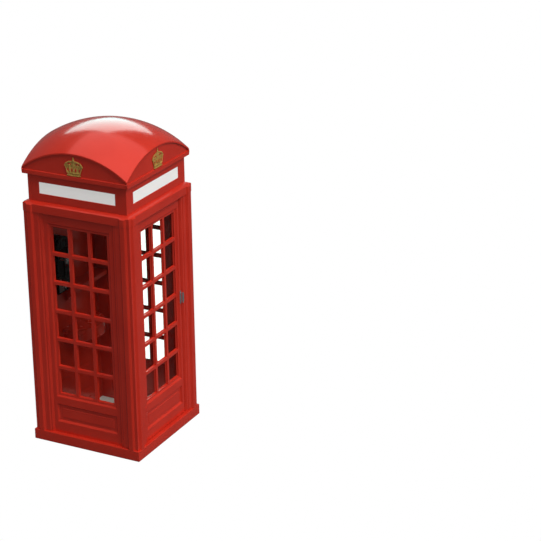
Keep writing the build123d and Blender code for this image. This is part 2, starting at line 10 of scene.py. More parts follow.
import json
import logging
import math
from dataclasses import dataclass, field
from enum import Enum

import bmesh
import bpy
import numpy as np
from mathutils import Matrix, Vector

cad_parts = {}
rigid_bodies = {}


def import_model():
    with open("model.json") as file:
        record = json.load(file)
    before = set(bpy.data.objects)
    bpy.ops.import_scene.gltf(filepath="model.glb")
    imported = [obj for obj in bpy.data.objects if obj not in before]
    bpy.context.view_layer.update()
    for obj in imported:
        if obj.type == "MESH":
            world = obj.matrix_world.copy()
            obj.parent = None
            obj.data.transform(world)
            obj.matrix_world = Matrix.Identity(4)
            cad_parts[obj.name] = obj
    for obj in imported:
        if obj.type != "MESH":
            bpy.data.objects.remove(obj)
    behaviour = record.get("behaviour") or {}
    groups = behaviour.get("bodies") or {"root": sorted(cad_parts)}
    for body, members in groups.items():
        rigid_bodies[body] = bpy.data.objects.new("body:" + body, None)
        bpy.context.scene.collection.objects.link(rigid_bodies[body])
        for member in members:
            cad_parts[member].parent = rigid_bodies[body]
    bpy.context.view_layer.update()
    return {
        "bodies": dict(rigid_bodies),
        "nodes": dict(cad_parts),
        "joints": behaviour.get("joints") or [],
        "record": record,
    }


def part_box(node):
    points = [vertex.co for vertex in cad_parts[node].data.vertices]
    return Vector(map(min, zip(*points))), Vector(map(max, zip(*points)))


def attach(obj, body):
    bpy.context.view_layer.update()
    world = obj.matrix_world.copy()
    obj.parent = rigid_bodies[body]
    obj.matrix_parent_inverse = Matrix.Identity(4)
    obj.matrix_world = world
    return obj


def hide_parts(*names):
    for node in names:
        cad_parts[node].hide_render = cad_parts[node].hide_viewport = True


log = logging.getLogger("booth")

MM = 0.001
Triple = tuple[float, float, float]
Span = tuple[float, float]


# ------------------------------------------------------------------------------------------ colour and nodes
def linear(hex_colour: str) -> tuple[float, float, float, float]:
    """Turn an sRGB hex colour into linear red, green, blue and an alpha of 1."""
    digits = hex_colour.lstrip("#")
    srgb = np.array([int(digits[i:i + 2], 16) / 255 for i in (0, 2, 4)])
    rgb = np.where(srgb <= 0.04045, srgb / 12.92, ((srgb + 0.055) / 1.055) ** 2.4)
    return (float(rgb[0]), float(rgb[1]), float(rgb[2]), 1.0)


def add_node(tree: bpy.types.NodeTree, kind: str, inputs: dict | tuple = (),
             **settings: str) -> bpy.types.Node:
    """Add one node with its settings and incoming links.

    Args:
        tree: node tree that receives the node.
        kind: Blender's node type name without its leading ShaderNode.
        inputs: a value or an output socket for each input, by name or index, or in order from the first.
        settings: choices that the node keeps outside its sockets.

    Returns:
        The new node.
    """
    node = tree.nodes.new("ShaderNode" + kind)
    for name, choice in settings.items():
        setattr(node, name, choice)
    for key, value in (inputs if isinstance(inputs, dict) else dict(enumerate(inputs))).items():
        if isinstance(value, bpy.types.NodeSocket):
            tree.links.new(value, node.inputs[key])
        else:
            node.inputs[key].default_value = value
    return node


def pattern(tree: bpy.types.NodeTree, size_mm: float, detail: float = 3.0,
            stretch: Triple = (1, 1, 1)) -> bpy.types.NodeSocket:
    """Add a noise whose blobs have a real size on the booth.

    Args:
        tree: node tree of the material.
        size_mm: width of one blob in millimetres.
        detail: octaves of finer noise.
        stretch: how much longer the blobs are along each axis.

    Returns:
        The noise's value, mostly between 0.3 and 0.7.
    """
    place = add_node(tree, "TexCoord").outputs["Object"]
    mapping = add_node(tree, "Mapping", {"Vector": place, "Scale": [1 / s for s in stretch]})
    return add_node(tree, "TexNoise", {"Vector": mapping.outputs["Vector"], "Scale": 1 / (size_mm * MM),
                                       "Detail": detail, "Roughness": 0.55}).outputs["Fac"]


def mottled(tree: bpy.types.NodeTree, value: bpy.types.NodeSocket, levels: Span,
            first: bpy.types.NodeSocket | tuple, second: tuple, most: float = 1.0) -> bpy.types.NodeSocket:
    """Colour that turns from a first to a second one as a pattern's value rises.

    Args:
        tree: node tree of the material.
        value: the pattern's value.
        levels: where the second colour begins and where it is full.
        first: linear colour, or the colour made so far.
        second: linear colour.
        most: share of the second colour where it is full.

    Returns:
        The mixed colour.
    """
    share = add_node(tree, "MapRange", (value, *levels, 0.0, most)).outputs[0]
    return add_node(tree, "Mix", {0: share, 6: first, 7: second}, data_type="RGBA").outputs[2]


def relief(tree: bpy.types.NodeTree, size_mm: float, detail: float, depth_mm: float, strength: float,
           stretch: Triple = (1, 1, 1), under: bpy.types.NodeSocket | None = None) -> bpy.types.NodeSocket:
    """Bumps with a real width and depth, on top of earlier ones if given.

    Args:
        tree: node tree of the material.
        size_mm: width of one bump in millimetres.
        detail: octaves of finer noise.
        depth_mm: height between the lowest and the highest noise.
        strength: how far the bumps turn the normal.
        stretch: how much longer the bumps are along each axis.
        under: normal of the earlier bumps.

    Returns:
        The bumpy normal.
    """
    height = pattern(tree, size_mm, detail, stretch)
    inputs = {"Height": height, "Distance": depth_mm * MM, "Strength": strength}
    if under is not None:
        inputs["Normal"] = under
    return add_node(tree, "Bump", inputs).outputs["Normal"]


# ------------------------------------------------------------------------------------------ finishes
BLOTCHES = (0.35, 0.7)


@dataclass(frozen=True)
class Finish:
    """A real finish, wired as one shader."""

    name: str

    def material(self) -> bpy.types.Material:
        """Make the finish's material."""
        material = bpy.data.materials.new(self.name)
        material.use_nodes = True
        tree = material.node_tree
        tree.nodes.clear()
        add_node(tree, "OutputMaterial", {"Surface": self.shader(tree)})
        return material

    def shader(self, tree: bpy.types.NodeTree) -> bpy.types.NodeSocket:
        """Wire the finish and return its shader."""
        raise NotImplementedError


class Texture(Enum):
    """What lies under a coat of paint."""

    SAND_CAST = "sand cast"
    BRUSHED_TIMBER = "brushed timber"
    SHEET = "sheet"


@dataclass(frozen=True)
class GlossPaint(Finish):
    """Hard gloss paint, brushed in several coats, with the ground it covers showing as a faint relief.

    Sand-cast iron gives a soft pebble under the gloss, timber gives long brush marks. Part of the shine takes
    the paint's own colour, a deep lustre. Road film greys the colour a little near the ground.
    """

    colour: str
    shade: str
    texture: Texture
    roughness: Span = (0.14, 0.2)
    coat: float = 0.15
    lustre: float = 0.3
    film: str = "#8A3A30"
    film_height: float = 0.12
    film_share: float = 0.3

    def shader(self, tree: bpy.types.NodeTree) -> bpy.types.NodeSocket:
        """Uneven colour, road film low down, wiped patches of gloss and the ground under it all."""
        colour = mottled(tree, pattern(tree, 320, 2), BLOTCHES, linear(self.colour), linear(self.shade))
        place = add_node(tree, "SeparateXYZ", (add_node(tree, "TexCoord").outputs["Object"],))
        low = add_node(tree, "MapRange", (place.outputs["Z"], 0.0, self.film_height, self.film_share, 0.0))
        splashes = add_node(tree, "MapRange", (pattern(tree, 26, 5), 0.42, 0.66, 0.1, 1.0))
        film = add_node(tree, "Math", (low.outputs[0], splashes.outputs[0]), operation="MULTIPLY")
        colour = add_node(tree, "Mix", {0: film.outputs[0], 6: colour, 7: linear(self.film)},
                          data_type="RGBA")
        wipes = add_node(tree, "MapRange", (pattern(tree, 60, 3), 0.3, 0.7, *self.roughness))
        return add_node(tree, "BsdfPrincipled", {
            "Base Color": colour.outputs[2], "Roughness": wipes.outputs[0], "Normal": self.ground(tree),
            "IOR": 1.5, "Metallic": self.lustre, "Coat Weight": self.coat, "Coat Roughness": 0.05}).outputs[0]

    def ground(self, tree: bpy.types.NodeTree) -> bpy.types.NodeSocket:
        """Relief of what the paint covers, under the orange peel of the paint itself."""
        peel_mm = 14
        if self.texture is Texture.SAND_CAST:
            pebble = relief(tree, 7, 2, 0.2, 0.35)
            swell = relief(tree, 140, 1, 1.0, 0.3, under=pebble)
            return relief(tree, peel_mm, 1, 0.15, 0.3, under=swell)
        if self.texture is Texture.BRUSHED_TIMBER:
            marks = relief(tree, 2.5, 2, 0.06, 0.3, (1, 1, 40))
            return relief(tree, peel_mm, 1, 0.05, 0.25, under=marks)
        return relief(tree, peel_mm, 1, 0.08, 0.25)


@dataclass(frozen=True)
class GiltPaint(Finish):
    """Gold paint brushed over a casting: soft metallic, blotched lighter and darker."""

    name: str = "gold_paint"
    light: str = "#DDB765"
    dark: str = "#A67E3A"

    def shader(self, tree: bpy.types.NodeTree) -> bpy.types.NodeSocket:
        """Blotched gold over fine brush marks."""
        colour = mottled(tree, pattern(tree, 14, 3), (0.35, 0.68), linear(self.light), linear(self.dark))
        return add_node(tree, "BsdfPrincipled", {
            "Base Color": colour, "Normal": relief(tree, 2.5, 3, 0.25, 0.35), "Metallic": 0.55,
            "Roughness": 0.42}).outputs[0]


@dataclass(frozen=True)
class SheetGlass(Finish):
    """Clear drawn sheet: a mirror that grows towards grazing angles over an unbent view of what is behind.

    The pane is too thin to bend the view, so light from lamps and the eye's line pass straight through.
    The slow ripple of drawn sheet and a faint film of dust show only in what it mirrors.
    """

    name: str = "clear_sheet_glass"
    tint: str = "#F3F6F4"
    ripple_mm: float = 180.0
    mirrored: Span = (0.008, 0.35)
    dust: Span = (0.015, 0.06)

    def shader(self, tree: bpy.types.NodeTree) -> bpy.types.NodeSocket:
        """Mirror over clear; the mirror's share rises with the fifth power of the slant."""
        normal = relief(tree, self.ripple_mm, 1, 0.25, 0.2, (1, 1, 3))
        dust = add_node(tree, "MapRange", (pattern(tree, 70, 4), *BLOTCHES, *self.dust))
        mirror = add_node(tree, "BsdfPrincipled", {"Base Color": linear(self.tint), "Metallic": 1.0,
                                                   "Roughness": dust.outputs[0], "Normal": normal})
        clear = add_node(tree, "BsdfTransparent", {"Color": linear(self.tint)})
        slant = add_node(tree, "LayerWeight", {"Blend": 0.5, "Normal": normal})
        steep = add_node(tree, "Math", (slant.outputs["Facing"], 5.0), operation="POWER")
        share = add_node(tree, "MapRange", (steep.outputs[0], 0.0, 1.0, *self.mirrored))
        return add_node(tree, "MixShader", (share.outputs[0], clear.outputs[0], mirror.outputs[0])).outputs[0]


@dataclass(frozen=True)
class OpalGlass(Finish):
    """Opal glass: glossy skin over a body that scatters light.

    A sign's glow is painted light: emission that evens out its lit and its shaded sides, with no lamp inside
    the sign box.
    """

    colour: str = "#F2F1EF"
    cloud: str = "#E4E3DE"
    # painted glow: emission strength that stands in for light falling on the glass
    painted_glow: float = 0.0
    roughness: float = 0.16

    def shader(self, tree: bpy.types.NodeTree) -> bpy.types.NodeSocket:
        """Faintly clouded body under a slightly wavy skin."""
        colour = mottled(tree, pattern(tree, 120, 2), (0.3, 0.7), linear(self.colour), linear(self.cloud),
                         most=0.35)
        # the emission is painted light, a glow in the glass's own colour
        return add_node(tree, "BsdfPrincipled", {
            "Base Color": colour, "Normal": relief(tree, 90, 1, 0.4, 0.2), "Roughness": self.roughness,
            "IOR": 1.5, "Subsurface Weight": 0.3, "Subsurface Scale": 0.01,
            "Emission Color": linear(self.colour), "Emission Strength": self.painted_glow}).outputs[0]


@dataclass(frozen=True)
class PlatedMetal(Finish):
    """Polished or satin metal: fine scratches in the plating and a thin haze where hands touch it."""

    colour: str
    roughness: Span
    scratch_mm: float = 3.0
    stretch: Triple = (1, 1, 12)

    def shader(self, tree: bpy.types.NodeTree) -> bpy.types.NodeSocket:
        """Hazed metal with scratches along one direction."""
        haze = add_node(tree, "MapRange", (pattern(tree, 16, 4), 0.35, 0.65, *self.roughness))
        return add_node(tree, "BsdfPrincipled", {
            "Base Color": linear(self.colour), "Metallic": 1.0, "Roughness": haze.outputs[0],
            "Normal": relief(tree, self.scratch_mm, 2, 0.05, 0.15, self.stretch)}).outputs[0]


@dataclass(frozen=True)
class Enamel(Finish):
    """Stoved enamel or moulded phenolic: one deep colour, a hard shine and a faint orange peel."""

    colour: str
    worn: str
    roughness: Span = (0.18, 0.34)
    shine: float = 0.5
    coat: float = 0.25

    def shader(self, tree: bpy.types.NodeTree) -> bpy.types.NodeSocket:
        """Worn patches that are paler and duller than the rest."""
        wear = pattern(tree, 45, 4)
        dull = add_node(tree, "MapRange", (wear, *BLOTCHES, *self.roughness))
        return add_node(tree, "BsdfPrincipled", {
            "Base Color": mottled(tree, wear, (0.5, 0.75), linear(self.colour), linear(self.worn), 0.6),
            "Roughness": dull.outputs[0], "Normal": relief(tree, 4, 1, 0.06, 0.3), "IOR": 1.5,
            "Specular IOR Level": self.shine, "Coat Weight": self.coat, "Coat Roughness": 0.08}).outputs[0]


@dataclass(frozen=True)
class FloatedConcrete(Finish):
    """Steel-floated concrete: pale cement with darker patches, fine aggregate and pinholes."""

    name: str = "floated_concrete"
    pale: str = "#F1F0EC"
    dark: str = "#DCDAD4"
    aggregate: str = "#7F7B74"
    grit_mm: float = 3.0

    def shader(self, tree: bpy.types.NodeTree) -> bpy.types.NodeSocket:
        """Broad patches, then grit in both colour and relief."""
        colour = mottled(tree, pattern(tree, 150, 5), BLOTCHES, linear(self.pale), linear(self.dark))
        grit = pattern(tree, self.grit_mm, 4)
        colour = mottled(tree, grit, (0.62, 0.7), colour, linear(self.aggregate), 0.5)
        return add_node(tree, "BsdfPrincipled", {
            "Base Color": colour, "Normal": relief(tree, self.grit_mm, 4, 0.5, 0.5),
            "Roughness": 0.82}).outputs[0]


RED, RED_SHADE = "#CB301F", "#C42B1B"
IRON_PAINT = GlossPaint("gloss_red_on_cast_iron", RED, RED_SHADE, Texture.SAND_CAST)
TIMBER_PAINT = GlossPaint("gloss_red_on_timber", RED, RED_SHADE, Texture.BRUSHED_TIMBER)
STEEL_PAINT = GlossPaint("gloss_red_on_sheet_steel", RED, RED_SHADE, Texture.SHEET, (0.18, 0.3), 0.5)
PUTTY_PAINT = GlossPaint("gloss_red_on_putty", RED, RED_SHADE, Texture.SHEET)
WHITE_ENAMEL = Enamel("white_stove_enamel", "#DAD8D0", "#C4C0B4")
BLACK_ENAMEL = Enamel("black_stove_enamel", "#060606", "#0C0C0C", (0.18, 0.34), 0.15, 0.04)
BLACK_PHENOLIC = Enamel("black_phenolic_moulding", "#070707", "#0E0D0D", (0.12, 0.25), 0.25, 0.1)
CLEAR_GLASS = SheetGlass()
# painted light: the signs' grey body glows at 0.86, standing in for light falling on their lit and shaded
# sides
OPAL_SIGN = OpalGlass("opal_sign_glass", "#B2B1AF", "#ABAAA7", 0.86)
FROSTED_GLASS = OpalGlass("frosted_lamp_glass", "#EFEDE4", roughness=0.35)
GOLD = GiltPaint()
CHROME = PlatedMetal("bright_chrome_plate", "#D9DADC", (0.05, 0.16))
BLUED_STEEL = PlatedMetal("blued_steel_plate", "#161618", (0.3, 0.45), 1.5, (14, 1, 1))
SATIN_STEEL = PlatedMetal("satin_steel_plate", "#8F9092", (0.28, 0.42), 1.5, (14, 1, 1))
CONCRETE = FloatedConcrete()


class PaintShop:
    """Keeps one material for each finish."""

    def __init__(self) -> None:
        """Start with no materials made."""
        self.made: dict[str, bpy.types.Material] = {}

    def material(self, finish: Finish) -> bpy.types.Material:
        """Return the finish's material, built on first use."""
        if finish.name not in self.made:
            self.made[finish.name] = finish.material()
        return self.made[finish.name]


# ------------------------------------------------------------------------------------------ surfaces
FRONT = (0, -1, 0)


@dataclass
class Surface:
    """Points and faces of one or more skins, in metres."""

    points: np.ndarray
    faces: list[list[int]] = field(default_factory=list)

    def turned(self, degrees: float) -> Surface:
        """Turn the surface about the booth's axis."""
        angle = math.radians(degrees)
        c, s = math.cos(angle), math.sin(angle)
        return Surface(self.points @ np.array([[c, -s, 0], [s, c, 0], [0, 0, 1]]).T, self.faces)


def joined(parts: list[Surface]) -> Surface:
    """Put several surfaces into one, without merging their points."""
    offsets = np.cumsum([0] + [len(part.points) for part in parts[:-1]])
    faces = [[index + int(offset) for index in face]
             for part, offset in zip(parts, offsets) for face in part.faces]
    return Surface(np.vstack([part.points for part in parts]), faces)


def grid(points: np.ndarray, wrap_rows: bool = False, wrap_columns: bool = False,
         caps: bool = False) -> Surface:
    """Skin over a grid of points: each cell of four neighbours is a face.

    Args:
        points: rows by columns by 3.
        wrap_rows: join the last row to the first.
        wrap_columns: join the last column to the first.
        caps: close the first and last rows with one face each.

    Returns:
        The skinned surface.
    """
    rows, columns = points.shape[:2]
    index = np.arange(rows * columns).reshape(rows, columns)
    if wrap_rows:
        index = np.vstack([index, index[:1]])
    if wrap_columns:
        index = np.hstack([index, index[:, :1]])
    quads = np.stack([index[:-1, :-1], index[:-1, 1:], index[1:, 1:], index[1:, :-1]], axis=-1).reshape(-1, 4)
    faces = quads.tolist()
    if caps:
        faces.append(list(range(columns))[::-1])
        faces.append(list(range((rows - 1) * columns, rows * columns)))
    return Surface(points.reshape(-1, 3), faces)


def revolved(profile: np.ndarray, centre: Triple, axis: Triple, segments: int) -> Surface:
    """Profile of radius and height turned about an axis.

    Each point is centre + height * axis + radius * (cos * u + sin * v), with u and v across the axis.
    """
    along = np.array(axis, float)
    across = np.array((1.0, 0, 0)) if abs(along[0]) < 0.9 else np.array((0, 1.0, 0))
    second = np.cross(along, across)
    angle = np.linspace(0, 2 * np.pi, segments, endpoint=False)
    around = np.cos(angle)[:, None] * across + np.sin(angle)[:, None] * second
    points = np.array(centre) + profile[:, None, 1:2] * along + profile[:, None, 0:1] * around[None]
    return grid(points, wrap_columns=True, caps=True)


def swept(profile: np.ndarray, path: np.ndarray, scale: np.ndarray | float = 1.0) -> Surface:
    """Closed profile carried along an open path that lies in an upright plane, such as the front wall's.

    The profile's first value goes sideways in the path's plane and its second towards the front; scale
    widens or narrows both at each point of the path.
    """
    along = np.gradient(path, axis=0)
    along /= np.linalg.norm(along, axis=1, keepdims=True)
    side = np.cross(along, FRONT)
    size = np.broadcast_to(scale, len(path))[:, None, None]
    points = (path[:, None] + size * profile[None, :, 0:1] * side[:, None]
              + size * profile[None, :, 1:2] * np.array(FRONT, float))
    return grid(points, wrap_columns=True, caps=True)


def oval(half_width: float, half_height: float, count: int = 16, power: float = 2.0) -> np.ndarray:
    """Superellipse outline: power 2 is an ellipse, higher powers are squarer."""
    angle = np.linspace(0, 2 * np.pi, count, endpoint=False)
    c, s = np.cos(angle), np.sin(angle)
    return np.stack([half_width * np.sign(c) * np.abs(c) ** (2 / power),
                     half_height * np.sign(s) * np.abs(s) ** (2 / power)], axis=1)


def ball(centre: Triple, size: Triple, rings: int = 10) -> Surface:
    """Sphere about a centre, with its own half width along each axis; its poles are small closed caps."""
    cap = 0.06
    tilt = np.linspace(cap, np.pi - cap, rings)
    sphere = revolved(np.stack([np.sin(tilt), -np.cos(tilt)], axis=1), (0, 0, 0), (0, 0, 1), 20)
    return Surface(sphere.points * np.array(size) + np.array(centre), sphere.faces)


def slab(x: np.ndarray, z: np.ndarray, front: np.ndarray, back: np.ndarray) -> Surface:
    """Upright slab over a grid of x and z, between a front y and a back y, closed by four edge walls."""
    outer = np.stack([x, front, z], axis=-1)
    inner = np.stack([x, back, z], axis=-1)
    walls = [np.stack([outer[at], inner[at]]) for at in (0, -1, np.s_[:, 0], np.s_[:, -1])]
    return joined([grid(points) for points in [outer, inner] + walls])


def blocks(edges: list[np.ndarray], filled: np.ndarray) -> Surface:
    """Skin of the filled cells of a rectangular lattice: a face wherever a filled cell meets an empty one.

    Args:
        edges: cell edges along x, y and z.
        filled: which cells are solid, one value for each cell.

    Returns:
        Closed surface made only of rectangles.
    """
    nodes = np.stack(np.meshgrid(*edges, indexing="ij"), axis=-1).reshape(-1, 3)
    counts = [len(edge) for edge in edges]
    index = np.arange(len(nodes)).reshape(counts)
    padded = np.pad(filled, 1).astype(int)
    quads = []
    for axis in range(3):
        change = np.diff(padded, axis=axis)
        keep = tuple(slice(None) if side == axis else slice(1, -1) for side in range(3))
        at = np.argwhere(change[keep] != 0)
        one, two = (np.eye(3, dtype=int)[side] for side in range(3) if side != axis)
        corners = np.stack([at, at + one, at + one + two, at + two], axis=1)
        quads.append(index[tuple(np.moveaxis(corners, -1, 0))])
    used, faces = np.unique(np.vstack(quads), return_inverse=True)
    return Surface(nodes[used], faces.reshape(-1, 4).tolist())


def framed(profile: np.ndarray, half_width: float, bottom: float, top: float,
           centre_x: float = 0.0) -> Surface:
    """Closed profile carried round an upright rectangle in the front wall, with mitred corners.

    The profile's first value is the inset from the rectangle and its second the distance of the point
    from the booth's axis.
    """
    inset, plane = profile[:, 0], profile[:, 1]
    left, right = -half_width + inset, half_width - inset
    x = np.stack([left, right, right, left], axis=1)
    z = np.stack([bottom + inset, bottom + inset, top - inset, top - inset], axis=1)
    y = np.repeat(-plane[:, None], 4, axis=1)
    return grid(np.stack([x + centre_x, y, z], axis=-1), wrap_rows=True, wrap_columns=True)


@dataclass
class Piece:
    """Name, body, material slot and replaced nodes of one piece, and how its edges are eased."""

    name: str
    body: str
    slot: str
    replaces: tuple[str, ...] = ()
    bevel_mm: float = 0.0
    smooth_degrees: float = 35.0


class Maker:
    """Turns surfaces and castings into finished pieces that ride on the frame."""

    def __init__(self, frame: dict) -> None:
        """Keep the frame's nodes and open the paint shop."""
        self.nodes = frame["nodes"]
        self.shop = PaintShop()

    def finished(self, piece: Piece, mesh: bpy.types.Mesh, finish: Finish) -> bpy.types.Object:
        """Put a mesh in the scene with its edges eased, tie it to its body and hide the nodes it stands for.

        Args:
            piece: its name, body, slot and edges, and the nodes it stands for.
            mesh: its shape.
            finish: what it is painted or made with.

        Returns:
            The finished object.
        """
        obj = bpy.data.objects.new(piece.name, mesh)
        bpy.context.scene.collection.objects.link(obj)
        obj.data.shade_smooth()
        obj.data.set_sharp_from_angle(angle=math.radians(piece.smooth_degrees))
        if piece.bevel_mm:
            bevel = obj.modifiers.new("eased_edges", "BEVEL")
            bevel.width = piece.bevel_mm * MM
            bevel.segments = 2
            bevel.limit_method = "ANGLE"
            bevel.angle_limit = math.radians(30)
            bevel.use_clamp_overlap = True
            even = obj.modifiers.new("even_shading", "WEIGHTED_NORMAL")
            even.keep_sharp = False
        self.paint(obj, finish)
        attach(obj, piece.body)
        if piece.replaces:
            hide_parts(*piece.replaces)
        log.info("%s rides on %s", piece.name, piece.body)
        return obj

    def new_piece(self, piece: Piece, surface: Surface, finish: Finish) -> bpy.types.Object:
        """Make a piece from a worked-out surface.

        Args:
            piece: its name, body, slot and edges.
            surface: points and faces in the booth's frame.
            finish: what it is painted or made with.

        Returns:
            The finished object.
        """
        mesh = bpy.data.meshes.new(piece.name)
        mesh.from_pydata(surface.points.tolist(), [], surface.faces)
        work = bmesh.new()
        work.from_mesh(mesh)
        bmesh.ops.remove_doubles(work, verts=work.verts, dist=1e-6)
        bmesh.ops.recalc_face_normals(work, faces=work.faces)
        work.to_mesh(mesh)
        work.free()
        return self.finished(piece, mesh, finish)

    def eased(self, node: str, finish: Finish, slot: str, bevel_mm: float,
              body: str = "booth") -> bpy.types.Object:
        """Stand a copy of a casting in for its node, with flats joined and edges eased.

        Args:
            node: name of the node.
            finish: what it is painted with.
            slot: material slot in the record.
            bevel_mm: radius of the eased edges.
            body: body that it moves with.

        Returns:
            The finished object.
        """
        mesh = self.nodes[node].data.copy()
        work = bmesh.new()
        work.from_mesh(mesh)
        bmesh.ops.remove_doubles(work, verts=work.verts, dist=1e-5)
        flat = math.radians(0.3)
        bmesh.ops.dissolve_limit(work, angle_limit=flat, verts=work.verts, edges=work.edges)
        work.to_mesh(mesh)
        work.free()
        return self.finished(Piece(f"{node}_finished", body, slot, (node,), bevel_mm), mesh, finish)

    def paint(self, obj: bpy.types.Object, finish: Finish) -> None:
        """Give an object its one material."""
        obj.data.materials.clear()
        obj.data.materials.append(self.shop.material(finish))

    def dress(self, node: str, finish: Finish) -> None:
        """Give a node its material and leave its shape alone."""
        self.paint(self.nodes[node], finish)
        log.info("%s keeps its shape", node)


# ------------------------------------------------------------------------------------------ booth
SIDES = {"front": 0, "right": 90, "back": 180, "left": -90}


@dataclass
class Shell:
    """Plinth, posts, walls, cornice and sign box."""

    maker: Maker

    def build(self) -> None:
        """Ease and paint the castings and lay the floor."""
        for node, radius in (("plinth", 4.0), ("cornice", 3.5), ("sign_box", 3.0), ("back_panel", 2.0)):
            self.maker.eased(node, IRON_PAINT, "red_iron", radius)
        for end in ("front", "back"):
            for side in ("left", "right"):
                self.maker.eased(f"post_{end}_{side}", IRON_PAINT, "red_iron", 2.5)
        for side in ("left", "right", "back"):
            self.maker.eased(f"{side}_wall_frame", IRON_PAINT, "red_iron", 2.0)
        self.maker.dress("floor_slab", CONCRETE)
        self.maker.dress("ceiling", WHITE_ENAMEL)


@dataclass
class Roof:
    """Sail dome with an arched rim and a sunk tympanum on each side."""

    maker: Maker
    dome_radius: float = 974.4 * MM
    recess: float = 12 * MM
    rim: float = 14 * MM
    band_height: float = 36 * MM
    columns: int = 97

    def build(self) -> None:
        """Work out the roof from its box and replace the plain one."""
        low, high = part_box("roof_dome")
        half, base = high.x, low.z
        centre = high.z - self.dome_radius
        side = self.tympanum_side(half, base, centre)
        parts = [self.dome(half, centre)] + [side.turned(angle) for angle in SIDES.values()]
        along = np.linspace(-half, half, self.columns)[:-1]
        edge = Surface(np.stack([along, np.full_like(along, -half), np.full_like(along, base)], axis=1))
        rim = np.vstack([edge.turned(angle).points for angle in (0, 90, 180, 270)])
        parts.append(Surface(rim, [list(range(len(rim)))[::-1]]))
        piece = Piece("roof_casting", "booth", "red_iron", ("roof_dome",), 2.0, 30.0)
        self.maker.new_piece(piece, joined(parts), IRON_PAINT)

    def dome(self, half: float, centre: float) -> Surface:
        """Sphere over the square: z = centre + sqrt(radius^2 - x^2 - y^2)."""
        steps = np.linspace(-half, half, self.columns)
        x, y = np.meshgrid(steps, steps)
        z = centre + np.sqrt(self.dome_radius ** 2 - x ** 2 - y ** 2)
        return grid(np.stack([x, y, z], axis=-1))

    def tympanum_side(self, half: float, base: float, centre: float) -> Surface:
        """Front side, from the dome's edge down: rim, soffit, sunk tympanum, ledge and eave band.

        The rows share one parameter along the arch, so the recess closes to a point at each end.
        """
        ledge = base + self.band_height
        outer_radius = math.sqrt(self.dome_radius ** 2 - half ** 2)
        inner_radius = outer_radius - self.rim
        reach = math.sqrt(inner_radius ** 2 - (ledge - centre) ** 2)
        share = np.linspace(-1, 1, self.columns)
        outer_x, inner_x = half * share, reach * share
        outer_z = centre + np.sqrt(outer_radius ** 2 - outer_x ** 2)
        inner_z = np.maximum(centre + np.sqrt(inner_radius ** 2 - inner_x ** 2), ledge)
        front, back = np.full_like(share, -half), np.full_like(share, -half + self.recess)
        level = np.full_like(share, ledge)
        rows = [
            np.stack([outer_x, front, outer_z], axis=1),
            np.stack([inner_x, front, inner_z], axis=1),
            np.stack([inner_x, back, inner_z], axis=1),
            np.stack([inner_x, back, level], axis=1),
            np.stack([inner_x, front, level], axis=1),
            np.stack([outer_x, front, np.full_like(share, base)], axis=1),
        ]
        ends = [Surface(np.stack([rows[row][end] for row in (0, 4, 5)]), [[0, 1, 2]]) for end in (0, -1)]
        return joined([grid(np.stack(rows))] + ends)


